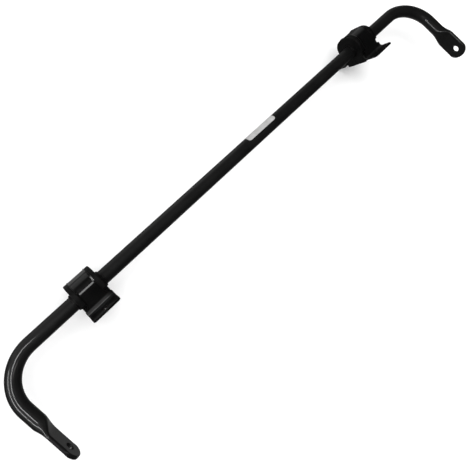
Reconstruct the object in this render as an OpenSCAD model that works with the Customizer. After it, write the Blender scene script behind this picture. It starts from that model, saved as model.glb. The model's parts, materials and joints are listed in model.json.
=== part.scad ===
// Anti-roll (sway) bar with its two saddle clamps.
// The bar runs along Y, both arms point to +X and lie in the XY plane, and +Z is up.
// The origin is on the bar's axis, half way along its straight section.

/* [Bar] */
// Outside diameter of the tube
bar_d = 24; // [20:0.5:28]
// Wall thickness of the tube
bar_wall = 3.25; // [2.5:0.25:4]
// Length of the straight section between the two bends
straight_l = 912; // [820:1:1100]
// Radius of each bend, to the tube's centre line
bend_r = 60; // [50:1:90]
// Angle that each arm is bent through
bend_angle = 96; // [85:1:100]
// Length of each arm, from the end of its bend to the link hole
arm_l = 79; // [75:1:150]

/* [Link eyes] */
// Diameter of the hole for the drop link's stud
eye_hole_d = 12.5; // [10:0.1:14]
// Length of the flattened end, from the shoulder to the tip
eye_flat_l = 47; // [38:1:50]
// Length over which the round tube is squashed flat
shoulder_l = 27; // [14:1:30]
// Distance from the hole's centre to the tip
eye_tip_l = 18.5; // [14:0.5:20]
// Lean of the flattened end, top edge outwards
eye_lean = 9.5; // [0:0.5:15]
// Width that the press adds to the squashed tube
eye_spread = 2; // [0:0.5:3]

/* [Clamps] */
// Distance from the middle of the bar to each clamp
clamp_y = 346; // [300:1:380]
// Turn of the clamps about the bar, from saddles pointing straight up
clamp_tilt = 63; // [0:1:90]

/* [Bushings] */
// Radial clearance between the rubber and the bar
bore_gap = 0.05; // [0.01:0.01:0.1]
// Height of the rubber above the bar's axis
rubber_top = 25; // [23:0.5:27]
// Half the width of the rubber inside the saddle
rubber_side = 25; // [24:0.5:27]
// Depth of the rubber below the bar's axis
rubber_base = 30; // [29:0.5:32]
// Length of the rubber over its two end lips
rubber_l = 48; // [40:1:50]
// Length of the collar round the bar, beyond each lip
collar_l = 4; // [2:0.5:6]
// Width of the slit that lets the rubber over the bar
slit_w = 0.6; // [0.4:0.1:1.5]

/* [Brackets] */
// Thickness of the steel sheet
sheet_t = 3; // [2:0.25:3]
// Width of the saddle along the bar
saddle_w = 32; // [28:1:34]
// Depth of the mounting face below the bar's axis
seat_h = 27; // [26:0.5:28]
// Length of each flange along the bar
flange_l = 50; // [42:1:52]
// Distance from the bar's axis to each flange's tip
flange_reach = 55; // [53:1:60]
// Distance between the two bolt holes
bolt_spacing = 86; // [84:0.5:90]
// Diameter of each bolt hole
bolt_hole_d = 9; // [6.5:0.5:11]

/* [Label] */
// Length of the blank sticker along the bar
label_l = 70; // [50:1:90]
// Width of the sticker round the bar
label_w = 30; // [20:1:30]
// Middle of the sticker along the bar
label_y = 56; // [0:1:100]
// Direction that the middle of the sticker faces, from +X towards +Z
label_angle = 162; // [120:1:200]

/* [Hidden] */
$fn = 96;
eps = 0.01;
bar_r = bar_d / 2;
hollow_r = bar_r - bar_wall;
// a squashed tube keeps the length of its wall's middle line, but for what the press adds
eye_t = 2 * bar_wall;
eye_w = PI * (bar_d - bar_wall) / 2 + bar_wall + eye_spread;
eye_end = arm_l + eye_tip_l;
shoulder_end = eye_end - eye_flat_l;
shoulder_start = shoulder_end - shoulder_l;
slice = 1;
// bending draws the tube down a little, and each bend runs on this many degrees inside its neighbours
bend_draw = 0.05;
bend_overrun = 1;
// a squashed stretch starts this far inside the round tube, and ends this far inside the flat one
neck = 0.5;
skin = 0.05;
crease_t = 0.4;
saddle_top = rubber_top + sheet_t;
saddle_side = rubber_side + sheet_t;
rubber_corner_r = 17;
saddle_corner_r = rubber_corner_r + sheet_t;
bend_inner_r = 5;
bend_outer_r = bend_inner_r + sheet_t;
flange_top = seat_h - sheet_t;
// depth below the bar's axis at which each wall starts to bend
wall_end = flange_top - bend_inner_r;
flange_flat_start = rubber_side + bend_outer_r;
flange_corner_r = 5;
// the sheet widens along a hollow arc: it starts this far below the bar's axis and inside the
// saddle's edge, and ends this far above the flange
flare_depth = 5;
flare_bite = 0.1;
flare_rise = 8;
flare_w = (flange_l - saddle_w) / 2 + flare_bite;
flare_h = flange_top - flare_rise - flare_depth;
flare_r = (flare_h * flare_h + flare_w * flare_w) / (2 * flare_w);
rim_h = 1.2;
rim_w = 2;
lip_l = (rubber_l - saddle_w) / 2;
lip_top = rubber_top + 3;
lip_side = rubber_side + 5;
lip_corner_r = 22;
foot_side = 24;
collar_r = 14.5;
label_t = 0.2;
label_corner_r = 5;
// half the angle that the sticker spans, and half the straight distance between its long edges
label_half_angle = label_w / (PI * bar_d) * 180;
label_half_chord = bar_r * sin(label_half_angle);

// Runs a solid that is drawn along Z out along the bar, centred on y = 0
module along_bar(length) rotate([90, 0, 0]) linear_extrude(length, center = true) children();

// The frame at the end of the right-hand bend: +X runs down the arm
module at_arm()
    translate([bend_r * (1 - cos(bend_angle)), straight_l / 2 + bend_r * sin(bend_angle), 0])
        rotate([0, 0, 90 - bend_angle])
            children();

// The frame of one clamp: +Z points to the top of the saddle, the flanges lie along X
module at_clamp(side) translate([0, side * clamp_y, 0]) rotate([0, -clamp_tilt, 0]) children();

// One bend and the round part of its arm, as a rod of radius r
module bend_and_arm(r) {
    translate([bend_r, straight_l / 2, 0])
        rotate([0, 0, 180 - bend_angle - bend_overrun])
            rotate_extrude(angle = bend_angle + 2 * bend_overrun)
                translate([bend_r, 0])
                    circle(r - bend_draw);
    at_arm() rotate([0, 90, 0]) cylinder(h = shoulder_start + slice, r = r);
}

// The bar's whole round length, as a rod of radius r
module round_run(r) {
    along_bar(straight_l) circle(r);
    for (m = [0, 1]) mirror([0, m, 0]) bend_and_arm(r);
}

// A flat section with round edges, as wide as w and as thick as t
module flat_section(w, t) {
    square([t, w - t], center = true);
    for (s = [-1, 1]) translate([0, s * (w - t) / 2]) circle(t / 2);
}

// Draws a section across the arm, and runs it along the arm
module along_arm(start, length)
    translate([start, 0, 0]) rotate([90, 0, 90]) linear_extrude(length) children();

// The squashed stretch between a round section of radius r and a flat one, in the arm's frame
module shoulder(r, w, t)
    hull($fn = 32) {
        along_arm(shoulder_start, slice) circle(r - neck, $fn = 48);
        rotate([-eye_lean, 0, 0])
            along_arm(shoulder_end, slice)
                flat_section(w - 2 * skin, t - 2 * skin, $fn = 32);
    }

// The flattened end with its round tip and link hole
module eye()
    rotate([-eye_lean, 0, 0])
        difference() {
            intersection() {
                along_arm(shoulder_end, eye_flat_l) flat_section(eye_w, eye_t);
                rotate([90, 0, 0])
                    linear_extrude(2 * eye_t, center = true) {
                        translate([shoulder_end, -eye_w]) square([eye_flat_l - eye_w / 2, 2 * eye_w]);
                        translate([eye_end - eye_w / 2, 0]) circle(eye_w / 2);
                    }
            }
            translate([arm_l, 0, 0])
                rotate([90, 0, 0])
                    cylinder(h = 2 * eye_t, d = eye_hole_d, center = true);
        }

// The tube: straight section, two bends, two arms and their flattened ends
module bar()
    color([0.10, 0.10, 0.105])
        difference() {
            union() {
                round_run(bar_r);
                for (m = [0, 1])
                    mirror([0, m, 0])
                        at_arm() {
                            shoulder(bar_r, eye_w, eye_t);
                            eye();
                        }
            }
            round_run(hollow_r);
            for (m = [0, 1]) mirror([0, m, 0]) at_arm() shoulder(hollow_r, eye_w - eye_t, crease_t);
        }

// Section of a saddle: flat base at -depth, straight sides and a top with round corners
module saddle_section(top, side, corner_r, depth) {
    translate([-side, -depth]) square([2 * side, depth + top - corner_r]);
    translate([corner_r - side, 0]) square([2 * (side - corner_r), top]);
    for (s = [-1, 1]) translate([s * (side - corner_r), top - corner_r]) circle(corner_r);
}

// Section of the rubber's end lip: it overhangs the saddle, and tapers inside the wider sheet below
module lip_section() {
    intersection() {
        saddle_section(lip_top, lip_side, lip_corner_r, flare_depth);
        translate([-lip_side, -flare_depth]) square([2 * lip_side, flare_depth + lip_top]);
    }
    polygon([
        [-rubber_side, -flare_depth],
        [rubber_side, -flare_depth],
        [foot_side, -rubber_base],
        [-foot_side, -rubber_base]
    ]);
}

// The rubber D-bushing: body, two end lips, two collars, bore and slit
module bushing(side)
    color([0.05, 0.05, 0.052])
        at_clamp(side)
            difference() {
                union() {
                    along_bar(saddle_w) {
                        saddle_section(rubber_top, rubber_side, rubber_corner_r, seat_h - bend_outer_r);
                        translate([-foot_side, -rubber_base]) square([2 * foot_side, rubber_base]);
                    }
                    for (s = [-1, 1])
                        translate([0, s * (saddle_w + lip_l) / 2, 0]) along_bar(lip_l) lip_section();
                    along_bar(rubber_l + 2 * collar_l) circle(collar_r);
                }
                along_bar(2 * rubber_l) circle(bar_r + bore_gap);
                translate([0, 0, -rubber_base / 2 - eps])
                    cube([slit_w, 2 * rubber_l, rubber_base], center = true);
            }

// Section of one side's bend between the saddle's wall and its flange
module flange_bend()
    translate([flange_flat_start, -flange_top + bend_inner_r])
        intersection() {
            difference() {
                circle(bend_outer_r);
                circle(bend_inner_r);
            }
            translate([-bend_outer_r, -bend_outer_r]) square(bend_outer_r);
        }

// Outline of one flange, seen square on, with the bar running along Y
module flange_outline() {
    half = flange_l / 2;
    straight = flange_reach - flange_corner_r;
    translate([flange_flat_start, -half]) square([straight - flange_flat_start, flange_l]);
    translate([straight - eps, flange_corner_r - half])
        square([flange_corner_r + eps, flange_l - 2 * flange_corner_r]);
    for (s = [-1, 1]) translate([straight, s * (half - flange_corner_r)]) circle(flange_corner_r);
}

// The lower walls and their bends, which widen from the saddle's width to the flange's
module flared_walls()
    difference() {
        along_bar(flange_l)
            for (m = [0, 1])
                mirror([m, 0]) {
                    translate([rubber_side, -wall_end]) square([sheet_t, wall_end - flare_depth]);
                    flange_bend();
                }
        for (s = [-1, 1])
            translate([0, s * (saddle_w / 2 - flare_bite + flare_r), -flare_depth])
                rotate([0, 90, 0])
                    cylinder(h = 2 * flange_reach, r = flare_r, center = true);
    }

// The two raised rims that stiffen the saddle's edges
module rims()
    for (s = [-1, 1])
        translate([0, s * (saddle_w - rim_w) / 2, 0])
            along_bar(rim_w)
                difference() {
                    saddle_section(
                        saddle_top + rim_h,
                        saddle_side + rim_h,
                        saddle_corner_r + rim_h,
                        flare_depth
                    );
                    saddle_section(rubber_top, rubber_side, rubber_corner_r, seat_h);
                }

// The pressed steel bracket: saddle with two raised rims, and a drilled flange on each side
module bracket(side)
    color([0.09, 0.09, 0.095])
        at_clamp(side)
            difference() {
                union() {
                    along_bar(saddle_w)
                        difference() {
                            saddle_section(saddle_top, saddle_side, saddle_corner_r, wall_end);
                            saddle_section(rubber_top, rubber_side, rubber_corner_r, seat_h);
                        }
                    rims();
                    flared_walls();
                    for (m = [0, 1])
                        mirror([m, 0, 0])
                            translate([0, 0, -seat_h])
                                linear_extrude(sheet_t)
                                    flange_outline();
                }
                for (s = [-1, 1])
                    translate([s * bolt_spacing / 2, 0, -seat_h])
                        cylinder(h = 4 * sheet_t, d = bolt_hole_d, center = true);
            }

// The blank sticker, bent round the bar, with round corners
module label()
    color([0.78, 0.78, 0.77])
        translate([0, label_y, 0])
            rotate([0, 180 - label_angle, 0])
                intersection() {
                    along_bar(label_l)
                        difference() {
                            circle(bar_r + label_t);
                            circle(bar_r);
                        }
                    label_blank();
                }

// A block with round corners that cuts the sticker to its width and length
module label_blank()
    rotate([0, -90, 0])
        linear_extrude(bar_d) {
            square([2 * label_half_chord, label_l - 2 * label_corner_r], center = true);
            square([2 * (label_half_chord - label_corner_r), label_l], center = true);
            for (sx = [-1, 1], sy = [-1, 1])
                translate([sx * (label_half_chord - label_corner_r), sy * (label_l / 2 - label_corner_r)])
                    circle(label_corner_r);
        }

bar();
bushing(-1);  // left_bushing
bushing(1);  // right_bushing
bracket(-1);  // left_bracket
bracket(1);  // right_bracket
label();
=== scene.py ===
import json
import math

import bmesh
import bpy
from mathutils import Matrix, Vector


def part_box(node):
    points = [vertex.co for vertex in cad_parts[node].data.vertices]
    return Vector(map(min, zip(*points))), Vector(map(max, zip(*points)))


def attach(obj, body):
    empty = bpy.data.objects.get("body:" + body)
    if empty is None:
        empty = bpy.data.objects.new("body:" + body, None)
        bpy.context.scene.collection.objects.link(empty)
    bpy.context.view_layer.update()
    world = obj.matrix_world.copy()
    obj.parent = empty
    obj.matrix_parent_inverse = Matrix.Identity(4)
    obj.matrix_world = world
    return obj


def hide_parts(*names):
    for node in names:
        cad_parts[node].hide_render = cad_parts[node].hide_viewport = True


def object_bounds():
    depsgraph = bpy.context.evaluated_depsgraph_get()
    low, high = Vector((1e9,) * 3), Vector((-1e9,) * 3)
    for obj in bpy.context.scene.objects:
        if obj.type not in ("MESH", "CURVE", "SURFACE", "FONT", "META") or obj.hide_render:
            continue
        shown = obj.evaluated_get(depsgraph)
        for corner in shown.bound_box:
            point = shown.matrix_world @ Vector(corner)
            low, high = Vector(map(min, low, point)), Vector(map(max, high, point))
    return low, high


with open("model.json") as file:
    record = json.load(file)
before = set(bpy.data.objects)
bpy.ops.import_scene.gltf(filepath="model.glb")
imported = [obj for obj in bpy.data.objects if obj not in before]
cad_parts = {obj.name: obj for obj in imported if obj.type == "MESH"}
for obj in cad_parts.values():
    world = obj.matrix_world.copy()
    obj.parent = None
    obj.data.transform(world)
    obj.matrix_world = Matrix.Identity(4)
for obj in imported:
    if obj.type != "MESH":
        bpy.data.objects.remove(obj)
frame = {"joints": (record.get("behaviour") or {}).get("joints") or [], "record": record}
cad_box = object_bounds()

MM = 0.001
MOUNTS = {mount["name"]: mount for mount in frame["record"]["mounts"]}
JOINTS = {joint["name"]: joint for joint in frame["joints"]}


def half_length(node):
    """Half of a node's length along the bar."""
    low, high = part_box(node)
    return (high.y - low.y) / 2


# ---- Sizes of the bar, in metres ----
# The arm's frame: s runs down the arm, a points outwards and b upwards.
EYE = MOUNTS["right_link_eye"]
EYE_POS = Vector(EYE["pos_m"])
EYE_AXIS = Vector(EYE["axis"])
EYE_HOLE_R = EYE["dims"]["r_mm"] * MM
EYE_T = EYE["dims"]["length_mm"] * MM
BAR_R = -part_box("bar")[0].x
BEND_R = 60 * MM
ARM_TURN = math.atan2(EYE_AXIS.x, EYE_AXIS.y)
BEND_ANGLE = math.pi / 2 + ARM_TURN
LEAN = -math.asin(EYE_AXIS.z)
ARM_L = (EYE_POS.x - BEND_R * (1 - math.cos(BEND_ANGLE))) / math.sin(BEND_ANGLE)
HALF_STRAIGHT = EYE_POS.y - BEND_R * math.sin(BEND_ANGLE) - ARM_L * math.cos(BEND_ANGLE)
EYE_W = 37.8 * MM
EYE_TIP_L = 18.5 * MM
EYE_FLAT_L = 47 * MM
SHOULDER_L = 27 * MM
EYE_END = ARM_L + EYE_TIP_L
SHOULDER_END = EYE_END - EYE_FLAT_L
SHOULDER_START = SHOULDER_END - SHOULDER_L
CUT_EDGE_R = 0.9 * MM
SEAM_DEPTH = 0.35 * MM
HOLE_EDGE_R = 0.6 * MM

# How finely the tube is meshed.
FLAT_CELLS = 14
EDGE_CELLS = 18
STRAIGHT_CELLS = 16
BEND_CELLS = 40
ARM_CELLS = 4
SHOULDER_CELLS = 24
EYE_SIDE_CELLS = 12
EYE_TIP_CELLS = 36

# ---- Sizes of the clamps ----
# The clamp's frame: x runs along the flanges, y along the bar and z to the saddle's top.
BOLTS = MOUNTS["right_bracket_bolts"]
SEAT_NORMAL = Vector(BOLTS["axis"])
SEAT_H = Vector(BOLTS["pos_m"]).dot(SEAT_NORMAL)
BOLT_X = BOLTS["dims"]["pcd_mm"] * MM / 2
BOLT_HOLE_R = BOLTS["dims"]["hole_r_mm"] * MM
BOLT_HOLE_EDGE = 0.15 * MM

# The rubber's shapes, each with its top, half width, corner radius and the depth at which it narrows.
RUBBER_TOP = 25 * MM
RUBBER_SIDE = 25 * MM
RUBBER_CORNER_R = 17 * MM
BODY_SHAPE = dict(top=RUBBER_TOP, side=RUBBER_SIDE, corner=RUBBER_CORNER_R, shoulder=14 * MM)
LIP_SHAPE = dict(top=RUBBER_TOP + 3 * MM, side=RUBBER_SIDE + 5 * MM, corner=22 * MM, shoulder=5 * MM)
# Below its shoulder each shape tucks in to the waist, and tapers to the foot.
SHOULDER_TUCK = 4 * MM
RUBBER_WAIST = 25 * MM
RUBBER_FOOT = 24 * MM
RUBBER_BASE = 30 * MM
RUBBER_TOE_R = 2.5 * MM
RUBBER_FILLET = 1.4 * MM
SLIT_HALF_W = 0.3 * MM
# A collar stands out beyond each lip, and narrows by its draft.
COLLAR_L = 4 * MM
COLLAR_R = 14.5 * MM
COLLAR_ROOT_R = 0.8 * MM
COLLAR_DRAFT = 0.3 * MM
RUBBER_HALF_L = half_length("right_bushing") - COLLAR_L
BORE_R = BAR_R + 0.1 * MM
BORE_EDGE_R = 0.5 * MM

# The saddle wraps the rubber's body. Between two heights it widens to its flanges.
SHEET_T = 3 * MM
SHEET_EDGE_R = 0.5 * MM
SADDLE_TOP = RUBBER_TOP + SHEET_T
SADDLE_SIDE = RUBBER_SIDE + SHEET_T
SADDLE_CORNER_R = RUBBER_CORNER_R + SHEET_T
SADDLE_HALF_W = 16 * MM
BEND_INNER_R = 5 * MM
FLANGE_REACH = 55 * MM
FLANGE_HALF_L = half_length("right_bracket")
FLANGE_CORNER_R = 5 * MM
FLARE_START = -5 * MM
FLARE_END = -16 * MM
# Its two edges are rolled up into rims, which fade out over the runout.
RIM_W = 2.2 * MM
RIM_H = 1.2 * MM
RIM_RUNOUT = 12 * MM
# How far in from each edge of the sheet its lines of vertices lie, so that the rim is finely meshed.
EDGE_LINES = [inset * MM for inset in (0, 0.5, 1.1, 1.7, 2.4, 3.4)]

# ---- Sizes of the label ----
LABEL_T = 0.135 * MM
LABEL_GAP = 0.015 * MM
LABEL_W = 30 * MM
LABEL_CORNER_R = 5 * MM
LABEL_FACES = math.radians(162)


def ease(t):
    """0 to 1 with no jerk at either end."""
    t = min(max(t, 0), 1)
    return t * t * (3 - 2 * t)


def mix(a, b, t):
    return a + (b - a) * t


# ---- Materials ----
def new_material(name):
    """A material, its Principled shader, and the functions that add a node and wire its inputs."""
    material = bpy.data.materials.new(name)
    material.use_nodes = True
    nodes = material.node_tree.nodes
    links = material.node_tree.links
    shader = nodes["Principled BSDF"]

    def add(kind, inputs=None, **settings):
        node = nodes.new(kind)
        for key, value in settings.items():
            setattr(node, key, value)
        wire(node, inputs or {})
        return node

    def wire(node, inputs):
        for key, value in inputs.items():
            if isinstance(value, bpy.types.NodeSocket):
                links.new(value, node.inputs[key])
            else:
                node.inputs[key].default_value = value

    return material, shader, add, wire


def noise(add, place, scale, detail=3.0, roughness=0.5):
    inputs = {"Vector": place, "Scale": scale, "Detail": detail, "Roughness": roughness}
    return add("ShaderNodeTexNoise", inputs).outputs["Fac"]


def ramp(add, factor, low, high, from_low=0.3, from_high=0.7):
    """Maps a noise value smoothly to a number between low and high."""
    inputs = {"Value": factor, "From Min": from_low, "From Max": from_high, "To Min": low, "To Max": high}
    return add("ShaderNodeMapRange", inputs, interpolation_type="SMOOTHSTEP").outputs["Result"]


def colour_mix(add, factor, a, b):
    node = add("ShaderNodeMix", data_type="RGBA")
    for socket, value in (("Factor_Float", factor), ("A_Color", a), ("B_Color", b)):
        target = next(s for s in node.inputs if s.identifier == socket)
        if isinstance(value, bpy.types.NodeSocket):
            node.id_data.links.new(value, target)
        else:
            target.default_value = value
    return next(s for s in node.outputs if s.identifier == "Result_Color")


def grey(value, warmth=0.0):
    return (value * (1 + warmth), value, value * (1 - warmth), 1)


def paint_material(name, base, worn, rough, gloss, peel, coat):
    """Black paint on steel: orange peel, a faintly cloudy gloss, fine dust, and thin paint on edges."""
    material, shader, add, wire = new_material(name)
    place = add("ShaderNodeTexCoord").outputs["Object"]
    cloud = noise(add, place, 22)
    grain = noise(add, place, 700, 2)
    speck = noise(add, place, 1900, 1)
    edge = ramp(add, add("ShaderNodeNewGeometry").outputs["Pointiness"], 0, 1, 0.53, 0.6)
    dust = ramp(add, speck, 0, 0.5, 0.66, 0.78)
    tone = colour_mix(add, ramp(add, cloud, 0, 1), grey(base), grey(base * 1.5, 0.02))
    dusty = colour_mix(add, dust, tone, grey(base * 4, 0.03))
    bump = add("ShaderNodeBump", {"Height": grain, "Strength": peel, "Distance": 0.05 * MM})
    wire(shader, {
        "Base Color": colour_mix(add, edge, dusty, grey(worn)),
        "Roughness": ramp(add, cloud, rough, rough + 0.1, 0.25, 0.75),
        "Specular IOR Level": gloss,
        "Normal": bump.outputs["Normal"],
        "Coat Weight": coat,
        "Coat Roughness": 0.05,
        "IOR": 1.5,
    })
    return material


def rubber_material():
    """Moulded rubber: a fine matt grain, a faint grey bloom and slightly shinier rubbed patches."""
    material, shader, add, wire = new_material("bushing_rubber")
    place = add("ShaderNodeTexCoord").outputs["Object"]
    bloom = noise(add, place, 60, 4, 0.6)
    grain = noise(add, place, 1400, 3, 0.7)
    bump = add("ShaderNodeBump", {"Height": grain, "Strength": 0.35, "Distance": 0.08 * MM})
    wire(shader, {
        "Base Color": colour_mix(add, ramp(add, bloom, 0, 1), grey(0.0015), grey(0.003, 0.02)),
        "Roughness": ramp(add, bloom, 0.45, 0.6),
        "Specular IOR Level": 0.12,
        "Normal": bump.outputs["Normal"],
    })
    return material


def label_material():
    """A blank film sticker: light grey, faintly mottled, a little dirty."""
    material, shader, add, wire = new_material("label_film")
    place = add("ShaderNodeTexCoord").outputs["Object"]
    mottle = noise(add, place, 90, 4, 0.6)
    fibre = noise(add, place, 2500, 2)
    bump = add("ShaderNodeBump", {"Height": fibre, "Strength": 0.15, "Distance": 0.03 * MM})
    wire(shader, {
        "Base Color": colour_mix(add, ramp(add, mottle, 0, 1), grey(0.42), grey(0.34, 0.01)),
        "Roughness": ramp(add, mottle, 0.35, 0.5),
        "Normal": bump.outputs["Normal"],
    })
    return material


# ---- Mesh helpers ----
def grid_faces(bm, rows, wrap=False):
    """Quads between rows of vertices, each row as long as the next, and closed round when wrap is set."""
    for lower, upper in zip(rows, rows[1:]):
        count = len(lower)
        for i in range(count if wrap else count - 1):
            j = (i + 1) % count
            bm.faces.new((lower[i], lower[j], upper[j], upper[i]))


def finish_piece(name, bm, material, body, node):
    """Shows a bmesh as the piece for one CAD node. An open sheet keeps its faces' own sides."""
    if all(edge.is_manifold for edge in bm.edges):
        bmesh.ops.recalc_face_normals(bm, faces=bm.faces)
    mesh = bpy.data.meshes.new(name)
    bm.to_mesh(mesh)
    bm.free()
    piece = bpy.data.objects.new(name, mesh)
    bpy.context.scene.collection.objects.link(piece)
    mesh.materials.append(material)
    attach(piece, body)
    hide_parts(node)
    return piece


def apply_modifiers(piece):
    """Leaves the piece as its final mesh, with no modifier on it."""
    graph = bpy.context.evaluated_depsgraph_get()
    final = bpy.data.meshes.new_from_object(piece.evaluated_get(graph))
    piece.modifiers.clear()
    piece.data = final


def shade(piece, angle):
    """Smooth shading with creases kept sharper than the angle, and flat faces kept flat."""
    for polygon in piece.data.polygons:
        polygon.use_smooth = True
    piece.data.set_sharp_from_angle(angle=math.radians(angle))
    weighted = piece.modifiers.new("flat_faces", "WEIGHTED_NORMAL")
    weighted.keep_sharp = True
    apply_modifiers(piece)


# ---- The bar ----
def stadium_point(distance, half_flat, radius):
    """The point (a, b) at a distance along a stadium's outline, from the middle of its outer flat."""
    arc = math.pi * radius
    distance %= 4 * half_flat + 2 * arc
    if distance < half_flat:
        return radius, distance
    distance -= half_flat
    if distance < arc:
        angle = distance / radius
        return radius * math.cos(angle), half_flat + radius * math.sin(angle)
    distance -= arc
    if distance < 2 * half_flat:
        return -radius, half_flat - distance
    distance -= 2 * half_flat
    if distance < arc:
        angle = distance / radius
        return -radius * math.cos(angle), -half_flat - radius * math.sin(angle)
    return radius, distance - arc - half_flat


def section(flatness):
    """The tube's outline, round at flatness 0 and flat at 1: a flat and an edge, then both again."""
    thickness = mix(2 * BAR_R, EYE_T, flatness)
    width = mix(2 * BAR_R, EYE_W, flatness)
    half_flat = (width - thickness) / 2
    perimeter = 4 * half_flat + math.pi * thickness
    final = 2 * (EYE_W - EYE_T) + math.pi * EYE_T
    flat = perimeter * mix(0.25, (EYE_W - EYE_T) / final, flatness)
    edge = perimeter / 2 - flat
    places = []
    for turn in (0, perimeter / 2):
        places += [turn + flat * (i / FLAT_CELLS - 0.5) for i in range(FLAT_CELLS)]
        places += [turn + flat / 2 + edge * i / EDGE_CELLS for i in range(EDGE_CELLS)]
    return [stadium_point(place, half_flat, thickness / 2) for place in places]


def arm_point(s, a, b, lean):
    """A point in the right arm's frame, with its cross-section turned by the lean."""
    outwards = a * math.cos(lean) + b * math.sin(lean)
    upwards = b * math.cos(lean) - a * math.sin(lean)
    start = Vector((BEND_R * (1 - math.cos(BEND_ANGLE)), HALF_STRAIGHT + BEND_R * math.sin(BEND_ANGLE), 0))
    along = Vector((math.sin(BEND_ANGLE), math.cos(BEND_ANGLE), 0))
    across = Vector((-math.cos(BEND_ANGLE), math.sin(BEND_ANGLE), 0))
    return start + s * along + outwards * across + Vector((0, 0, upwards))


def bar_rings():
    """The tube's rings from the bar's middle to the end of the right shoulder, each as a list of points."""
    rings = []
    for i in range(STRAIGHT_CELLS):
        y = HALF_STRAIGHT * i / STRAIGHT_CELLS
        rings.append([Vector((-a, y, b)) for a, b in section(0)])
    for i in range(BEND_CELLS):
        angle = BEND_ANGLE * i / BEND_CELLS
        centre = Vector((BEND_R * (1 - math.cos(angle)), HALF_STRAIGHT + BEND_R * math.sin(angle), 0))
        across = Vector((-math.cos(angle), math.sin(angle), 0))
        rings.append([centre + a * across + Vector((0, 0, b)) for a, b in section(0)])
    for i in range(ARM_CELLS):
        rings.append([arm_point(SHOULDER_START * i / ARM_CELLS, a, b, 0) for a, b in section(0)])
    for i in range(SHOULDER_CELLS + 1):
        t = i / SHOULDER_CELLS
        s = mix(SHOULDER_START, SHOULDER_END, t)
        rings.append([arm_point(s, a, b, LEAN * ease(t)) for a, b in section(ease(t))])
    return rings


def edge_profile(cut):
    """The eye's edge, outer face to inner, as (outset, a): folded round at cut 0, sheared at cut 1."""
    half_t = EYE_T / 2
    corner_cells = 5
    corner = [math.pi / 2 * i / corner_cells for i in range(corner_cells + 1)]
    sheared = [(CUT_EDGE_R * (math.sin(t) - 1), half_t - CUT_EDGE_R * (1 - math.cos(t))) for t in corner]
    last = half_t - CUT_EDGE_R
    groove = 0.25 * MM
    sheared += [(0, mix(last, groove, i / 3)) for i in (1, 2, 3)]
    sheared = sheared + [(-SEAM_DEPTH, 0)] + [(out, -a) for out, a in reversed(sheared)]
    points = []
    for i, (out, a) in enumerate(sheared):
        angle = math.pi * i / EDGE_CELLS
        round_point = (half_t * (math.sin(angle) - 1), half_t * math.cos(angle))
        points.append((mix(round_point[0], out, cut), mix(round_point[1], a, cut)))
    return points


def eye_outline():
    """Stations round the eye's edge, from its lower side to its upper: point, outward normal, cut."""
    tip_centre = EYE_END - EYE_W / 2
    stations = []
    for i in range(1, EYE_SIDE_CELLS):
        s = mix(SHOULDER_END, tip_centre, i / EYE_SIDE_CELLS)
        stations.append(((s, -EYE_W / 2), (0, -1), 0))
    for i in range(EYE_TIP_CELLS + 1):
        angle = math.pi * (i / EYE_TIP_CELLS - 0.5)
        normal = (math.cos(angle), math.sin(angle))
        point = (tip_centre + EYE_W / 2 * normal[0], EYE_W / 2 * normal[1])
        stations.append((point, normal, ease((math.pi / 2 - abs(angle)) / math.radians(25))))
    for i in range(EYE_SIDE_CELLS - 1, 0, -1):
        s = mix(SHOULDER_END, tip_centre, i / EYE_SIDE_CELLS)
        stations.append(((s, EYE_W / 2), (0, 1), 0))
    return stations


def hole_profile():
    """The drilled hole's wall, outer face to inner, as (radius, a), with rounded edges."""
    half_t = EYE_T / 2
    turns = [math.radians(angle) for angle in (0, 30, 60, 90)]
    rim = []
    for t in turns:
        radius = EYE_HOLE_R + HOLE_EDGE_R * (1 - math.sin(t))
        rim.append((radius, half_t - HOLE_EDGE_R * (1 - math.cos(t))))
    return rim + [(radius, -a) for radius, a in reversed(rim)]


def add_eye(bm, ring):
    """Closes the squashed tube with its flat end, rounded tip and drilled hole."""
    half = FLAT_CELLS + EDGE_CELLS
    outer_line = ring[: FLAT_CELLS + 1]
    upper_edge = ring[FLAT_CELLS : half + 1]
    inner_line = ring[half : half + FLAT_CELLS + 1]
    lower_edge = (ring[half + FLAT_CELLS :] + ring[:1])[::-1]
    rows = [lower_edge]
    for (s, b), (ns, nb), cut in eye_outline():
        row = []
        for out, a in edge_profile(cut):
            row.append(bm.verts.new(arm_point(s + out * ns, a, b + out * nb, LEAN)))
        rows.append(row)
    rows.append(upper_edge)
    grid_faces(bm, rows)
    outer_loop = outer_line[::-1] + [row[0] for row in rows[1:-1]]
    inner_loop = inner_line + [row[-1] for row in rows[1:-1]]
    count = len(outer_loop)
    start = -math.pi * FLAT_CELLS / count
    angles = [math.pi - start - 2 * math.pi * (count - i) / count for i in range(count)]
    hole_rows = []
    for radius, a in hole_profile():
        row = []
        for angle in angles:
            place = (ARM_L + radius * math.cos(angle), a, radius * math.sin(angle))
            row.append(bm.verts.new(arm_point(*place, LEAN)))
        hole_rows.append(row)
    grid_faces(bm, hole_rows, wrap=True)
    for loop, hole_row in ((outer_loop, hole_rows[0]), (inner_loop, hole_rows[-1])):
        face_rows = [loop]
        for share in (0.06, 0.5, 0.92):
            face_rows.append([bm.verts.new(v.co.lerp(h.co, share)) for v, h in zip(loop, hole_row)])
        grid_faces(bm, face_rows + [hole_row], wrap=True)


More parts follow.
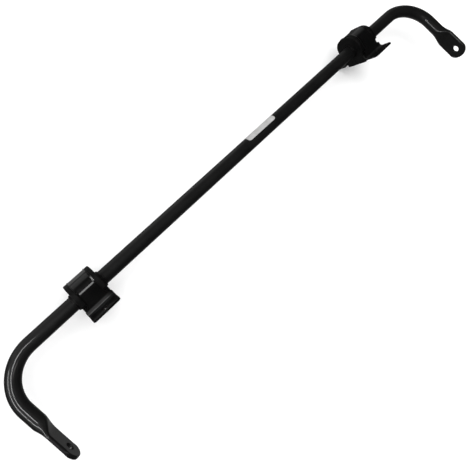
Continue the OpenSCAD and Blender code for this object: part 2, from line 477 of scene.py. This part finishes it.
def make_bar(material):
    """The tube, meshed from its middle to the right tip and mirrored."""
    bm = bmesh.new()
    rings = [[bm.verts.new(point) for point in ring] for ring in bar_rings()]
    grid_faces(bm, rings, wrap=True)
    add_eye(bm, rings[-1])
    copied = bmesh.ops.duplicate(bm, geom=bm.verts[:] + bm.edges[:] + bm.faces[:])["geom"]
    copied_verts = [item for item in copied if isinstance(item, bmesh.types.BMVert)]
    bmesh.ops.scale(bm, vec=(1, -1, 1), verts=copied_verts)
    middle = [v for v in bm.verts if abs(v.co.y) < 1e-6]
    bmesh.ops.remove_doubles(bm, verts=middle, dist=1e-6)
    piece = finish_piece("bar_tube", bm, material, "bar", "bar")
    shade(piece, 50)


# ---- The clamps ----
def clamp_matrix(side):
    """The clamp's frame at its joint: z points away from the seat, and y along the bar."""
    place = Vector(JOINTS[side + "_clamp_turn"]["pos_m"])
    up = -SEAT_NORMAL
    along = Vector((0, 1, 0))
    across = along.cross(up)
    turn = Matrix((across, along, up)).transposed()
    return Matrix.Translation(place) @ turn.to_4x4()


def arc(centre, radius, start, end, cells):
    """Points on an arc between two angles in degrees."""
    points = []
    for i in range(cells + 1):
        angle = math.radians(mix(start, end, i / cells))
        points.append((centre[0] + radius * math.cos(angle), centre[1] + radius * math.sin(angle)))
    return points


def spaced(a, b, cells):
    """Points from a up to but not including b."""
    return [(mix(a[0], b[0], i / cells), mix(a[1], b[1], i / cells)) for i in range(cells)]


def rubber_outline(top, side, corner, shoulder, inset=0.0):
    """The rubber's outline from one side of the slit round to the other, drawn in by the inset."""
    top, side, corner = top - inset, side - inset, corner - inset
    foot, base, waist = RUBBER_FOOT - inset, RUBBER_BASE - inset, RUBBER_WAIST - inset
    toe = RUBBER_TOE_R
    tuck_low = -shoulder - SHOULDER_TUCK
    half = spaced((SLIT_HALF_W, -base), (foot - toe, -base), 6)
    half += arc((foot - toe, -base + toe), toe, -90, -10, 4)
    half += spaced(half[-1], (waist, tuck_low), 5)[1:]
    half += [(mix(waist, side, ease(i / 6)), mix(tuck_low, -shoulder, i / 6)) for i in range(6)]
    half += spaced((side, -shoulder), (side, top - corner), 4)
    half += arc((side - corner, top - corner), corner, 0, 90, 14)
    half += spaced((side - corner, top), (0, top), 2)[1:]
    mirrored = [(-x, z) for x, z in reversed(half)]
    return half + [(0, top)] + mirrored


def round_outline(radius):
    """A circle with as many points as the rubber's outline, at the same directions."""
    points = []
    for x, z in rubber_outline(**LIP_SHAPE):
        length = math.hypot(x, z)
        points.append((radius * x / length, radius * z / length))
    low = -math.sqrt(radius ** 2 - SLIT_HALF_W ** 2)
    points[0] = (SLIT_HALF_W, low)
    points[-1] = (-SLIT_HALF_W, low)
    return points


def rubber_loops():
    """Half of the rubber's outlines as (y, outline): out from its middle, and back in through the bore."""
    coarse = [math.radians(angle) for angle in (0, 30, 60, 90)]
    fine = [math.radians(angle) for angle in (0, 22, 45, 68, 90)]
    end = RUBBER_HALF_L + COLLAR_L
    lip_root_r = 0.6 * RUBBER_FILLET
    body = rubber_outline(**BODY_SHAPE)
    loops = [(0, body), (SADDLE_HALF_W - RUBBER_FILLET, body), (SADDLE_HALF_W, body)]
    for t in coarse:
        outline = rubber_outline(**LIP_SHAPE, inset=lip_root_r * (1 - math.sin(t)))
        loops.append((SADDLE_HALF_W + lip_root_r * (1 - math.cos(t)), outline))
    for t in fine:
        outline = rubber_outline(**LIP_SHAPE, inset=RUBBER_FILLET * (1 - math.cos(t)))
        loops.append((RUBBER_HALF_L - RUBBER_FILLET * (1 - math.sin(t)), outline))
    for t in coarse:
        outline = round_outline(COLLAR_R + COLLAR_ROOT_R * (1 - math.sin(t)))
        loops.append((RUBBER_HALF_L + COLLAR_ROOT_R * (1 - math.cos(t)), outline))
    for t in fine:
        outline = round_outline(COLLAR_R - COLLAR_DRAFT - RUBBER_FILLET * (1 - math.cos(t)))
        loops.append((end - RUBBER_FILLET * (1 - math.sin(t)), outline))
    for t in coarse:
        outline = round_outline(BORE_R + BORE_EDGE_R * (1 - math.sin(t)))
        loops.append((end - BORE_EDGE_R * (1 - math.cos(t)), outline))
    loops.append((0, round_outline(BORE_R)))
    return loops


def make_bushing(side, material):
    """The moulded rubber: body, end lips, collars, bore, and the slit that lets it over the bar."""
    bm = bmesh.new()
    half = rubber_loops()
    other = [(-y, outline) for y, outline in reversed(half[1:-1])]
    rows = []
    for y, outline in half + other:
        rows.append([bm.verts.new((x, y, z)) for x, z in outline])
    rows.append(rows[0])
    grid_faces(bm, rows)
    for column in (0, -1):
        bm.faces.new([row[column] for row in rows[:-1]])
    bmesh.ops.transform(bm, matrix=clamp_matrix(side), verts=bm.verts)
    name = side + "_rubber"
    piece = finish_piece(name, bm, material, side + "_clamp", side + "_bushing")
    shade(piece, 40)


def sheet_path():
    """The bracket's outer surface from a flange's tip to the saddle's top, as (x, z, half width)."""
    top_of_flange = SHEET_T - SEAT_H
    bend_centre = (SADDLE_SIDE + BEND_INNER_R, top_of_flange + BEND_INNER_R)
    corner_start = FLANGE_REACH - FLANGE_CORNER_R
    stations = []
    corner_cells = 12
    for i in range(corner_cells + 1):
        angle = math.radians(90 * (1 - i / corner_cells))
        x = corner_start + FLANGE_CORNER_R * math.sin(angle)
        stations.append((x, top_of_flange, FLANGE_HALF_L - FLANGE_CORNER_R * (1 - math.cos(angle))))
    path = spaced((corner_start, top_of_flange), (bend_centre[0], top_of_flange), 4)[1:]
    path += arc(bend_centre, BEND_INNER_R, 270, 180, 12)
    corner_centre = (SADDLE_SIDE - SADDLE_CORNER_R, SADDLE_TOP - SADDLE_CORNER_R)
    path += spaced((SADDLE_SIDE, bend_centre[1]), (SADDLE_SIDE, corner_centre[1]), 18)[1:]
    path += arc(corner_centre, SADDLE_CORNER_R, 0, 90, 18)
    return stations + [(x, z, flared_half_width(z)) for x, z in path]


def flared_half_width(z):
    """Half the sheet's width at a height: a hollow arc widens it from the saddle to the flange."""
    rise = FLARE_START - FLARE_END
    gain = FLANGE_HALF_L - SADDLE_HALF_W
    radius = (rise ** 2 + gain ** 2) / (2 * gain)
    drop = min(max(FLARE_START - z, 0), rise)
    return SADDLE_HALF_W + radius - math.sqrt(radius ** 2 - drop ** 2)


def make_bracket(side, material):
    """The pressed saddle: one bent sheet with rolled rims, two flanges and their bolt holes."""
    half = sheet_path()
    path = half + [(-x, z, width) for x, z, width in reversed(half)]
    rows = []
    bm = bmesh.new()
    for index, (x, z, half_width) in enumerate(path):
        rim = RIM_H * ease((z - FLARE_START) / RIM_RUNOUT + 0.5)
        before = path[max(index - 1, 0)]
        after = path[min(index + 1, len(path) - 1)]
        along = Vector((after[0] - before[0], after[1] - before[1])).normalized()
        normal = (along.y, -along.x)
        inner = half_width - EDGE_LINES[-1]
        middle = [mix(-inner, inner, i / 8) for i in range(1, 8)]
        near_edge = [inset - half_width for inset in EDGE_LINES]
        across = near_edge + middle + [-y for y in reversed(near_edge)]
        row = []
        for y in across:
            lift = rim * ease(1 - (half_width - abs(y)) / RIM_W)
            row.append(bm.verts.new((x + lift * normal[0], y, z + lift * normal[1])))
        rows.append(row)
    grid_faces(bm, rows)
    name = side + "_saddle"
    piece = finish_piece(name, bm, material, side + "_clamp", side + "_bracket")
    solid = piece.modifiers.new("thickness", "SOLIDIFY")
    solid.thickness = SHEET_T
    solid.offset = -1
    solid.use_even_offset = True
    edge = piece.modifiers.new("edges", "BEVEL")
    edge.width = SHEET_EDGE_R
    edge.segments = 3
    edge.limit_method = "ANGLE"
    edge.angle_limit = math.radians(60)
    apply_modifiers(piece)
    drill(piece)
    piece.data.transform(clamp_matrix(side))
    shade(piece, 30)


def drill(piece):
    """Cuts both bolt holes, with slightly rounded rims."""
    face = SHEET_T - SEAT_H
    rim = BOLT_HOLE_EDGE
    widest = BOLT_HOLE_R + 2 * rim
    profile = [(widest, face + rim), (BOLT_HOLE_R + rim, face), (BOLT_HOLE_R, face - rim)]
    profile += [(BOLT_HOLE_R, -SEAT_H + rim), (BOLT_HOLE_R + rim, -SEAT_H), (widest, -SEAT_H - rim)]
    for x in (-BOLT_X, BOLT_X):
        bm = bmesh.new()
        rows = []
        for radius, z in profile:
            turns = [2 * math.pi * i / 64 for i in range(64)]
            rows.append([bm.verts.new((x + radius * math.cos(t), radius * math.sin(t), z)) for t in turns])
        grid_faces(bm, rows, wrap=True)
        bm.faces.new(rows[0])
        bm.faces.new(rows[-1])
        bmesh.ops.recalc_face_normals(bm, faces=bm.faces)
        mesh = bpy.data.meshes.new("cutter")
        bm.to_mesh(mesh)
        bm.free()
        cutter = bpy.data.objects.new("cutter", mesh)
        bpy.context.scene.collection.objects.link(cutter)
        cut = piece.modifiers.new("hole", "BOOLEAN")
        cut.object = cutter
        cut.solver = "EXACT"
        cut.operation = "DIFFERENCE"
        apply_modifiers(piece)
        bpy.data.objects.remove(cutter)


# ---- The label ----
def make_label(material):
    """The blank sticker: a thin film wrapped on the tube, with round corners."""
    low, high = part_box("label")
    length = high.y - low.y
    middle = (high.y + low.y) / 2
    rows = []
    bm = bmesh.new()
    cells = 32
    corner = [LABEL_CORNER_R * (1 - math.cos(math.radians(7.5 * i))) for i in range(13)]
    ys = [inset - length / 2 for inset in corner]
    ys += [mix(ys[-1], -ys[-1], i / 10) for i in range(1, 10)] + [-y for y in reversed(ys)]
    for y in ys:
        over = max(abs(y) - (length / 2 - LABEL_CORNER_R), 0)
        half_w = LABEL_W / 2 - LABEL_CORNER_R + math.sqrt(max(LABEL_CORNER_R ** 2 - over ** 2, 0))
        row = []
        for i in range(cells + 1):
            angle = LABEL_FACES + half_w * (2 * i / cells - 1) / BAR_R
            radius = BAR_R + LABEL_GAP + LABEL_T
            row.append(bm.verts.new((radius * math.cos(angle), middle + y, radius * math.sin(angle))))
        rows.append(row)
    grid_faces(bm, rows[::-1])
    piece = finish_piece("label_sticker", bm, material, "bar", "label")
    solid = piece.modifiers.new("thickness", "SOLIDIFY")
    solid.thickness = LABEL_T
    solid.offset = -1
    apply_modifiers(piece)
    shade(piece, 40)


# ---- The studio ----
def add_floor():
    """A plain pale floor just under the object."""
    bpy.ops.mesh.primitive_plane_add(size=12, location=(0.05, 0, cad_box[0][2] - 0.2 * MM))
    floor = bpy.context.object
    floor.name = "floor"
    material, shader, _, wire = new_material("floor_white")
    wire(shader, {"Base Color": (0.95, 0.95, 0.95, 1), "Roughness": 0.7, "Specular IOR Level": 0.1})
    floor.data.materials.append(material)
    floor.visible_glossy = False


def add_light(name, place, size_x, size_y, power, target, glossy=True, diffuse=True):
    """A rectangular light that faces the target. It can be left out of the gloss or the body colour."""
    data = bpy.data.lights.new(name, "AREA")
    data.shape = "RECTANGLE"
    data.size = size_x
    data.size_y = size_y
    data.energy = power
    light = bpy.data.objects.new(name, data)
    bpy.context.scene.collection.objects.link(light)
    direction = Vector(target) - Vector(place)
    light.location = place
    light.rotation_euler = direction.to_track_quat("-Z", "Y").to_euler()
    light.visible_glossy = glossy
    light.visible_diffuse = diffuse


def add_world(above, below):
    """A white backdrop that lights the object. Gloss sees a dim room, lighter straight below."""
    world = bpy.data.worlds.new("studio")
    bpy.context.scene.world = world
    world.use_nodes = True
    nodes = world.node_tree.nodes
    links = world.node_tree.links
    place = nodes.new("ShaderNodeTexCoord")
    split = nodes.new("ShaderNodeSeparateXYZ")
    height = nodes.new("ShaderNodeMapRange")
    nearly_down, slanting_down = -0.95, -0.5
    height.inputs["From Min"].default_value = nearly_down
    height.inputs["From Max"].default_value = slanting_down
    height.inputs["To Min"].default_value = below
    height.inputs["To Max"].default_value = above
    room = nodes["Background"]
    backdrop = nodes.new("ShaderNodeBackground")
    backdrop.inputs["Color"].default_value = (1, 1, 1, 1)
    room.inputs["Color"].default_value = (1, 1, 1, 1)
    path = nodes.new("ShaderNodeLightPath")
    pick = nodes.new("ShaderNodeMixShader")
    links.new(place.outputs["Generated"], split.inputs["Vector"])
    links.new(split.outputs["Z"], height.inputs["Value"])
    links.new(height.outputs["Result"], room.inputs["Strength"])
    links.new(path.outputs["Is Glossy Ray"], pick.inputs["Fac"])
    links.new(backdrop.outputs["Background"], pick.inputs[1])
    links.new(room.outputs["Background"], pick.inputs[2])
    links.new(pick.outputs["Shader"], nodes["World Output"].inputs["Surface"])


def add_camera():
    """The camera stands above the bar, near its left-hand end."""
    right = Vector((0.71229, 0.68795, 0.13916))
    up = Vector((-0.6912, 0.65306, 0.30946))
    back = Vector((0.12201, -0.31661, 0.94067))
    data = bpy.data.cameras.new("camera")
    data.lens = 35.62
    data.sensor_width = 36
    data.shift_x = 0.0322
    data.shift_y = -0.0549
    camera = bpy.data.objects.new("camera", data)
    turn = Matrix((right, up, back)).transposed()
    camera.matrix_world = Matrix.Translation((0.14397, -0.35149, 0.73525)) @ turn.to_4x4()
    bpy.context.scene.collection.objects.link(camera)
    bpy.context.scene.camera = camera


# ---- The scene ----
bar_look = dict(base=0.0028, worn=0.0075, rough=0.5, gloss=0.2, peel=0.12, coat=0.3)
bracket_look = dict(base=0.0016, worn=0.0095, rough=0.3, gloss=0.12, peel=0.08, coat=0.7)
bar_paint = paint_material("bar_paint", **bar_look)
bracket_paint = paint_material("bracket_paint", **bracket_look)
rubber = rubber_material()
make_bar(bar_paint)
make_label(label_material())
for clamp_side in ("left", "right"):
    make_bushing(clamp_side, rubber)
    make_bracket(clamp_side, bracket_paint)

add_floor()
add_world(above=0.003, below=0.46)
# Each light has its place, its two sides in metres, its power in watts, and the point that it faces.
add_light("fill", (0.3, 0, 2.6), 3.0, 3.0, 45, (0.05, 0, 0), glossy=False)
add_light("left_softbox", (-1.8, -0.3, 0.3), 2.4, 2.0, 9, (0, -0.3, 0), diffuse=False)
add_light("back_softbox", (-2.4, 2.0, 0.2), 4.0, 3.0, 11, (0, 0.3, 0), diffuse=False)
add_light("dome_light", (0.3, -0.35, 1.0), 0.1, 0.26, 0.55, (0, -0.35, 0), diffuse=False)
add_light("bend_strip", (-0.08, -0.67, 1.0), 0.26, 0.12, 3.0, (0.0, -0.5, 0), diffuse=False)
add_light("bend_softbox", (-0.43, -1.61, 1.0), 1.2, 0.2, 21, (0.02, -0.5, 0), diffuse=False)
add_camera()
bpy.context.scene.view_settings.view_transform = "Standard"
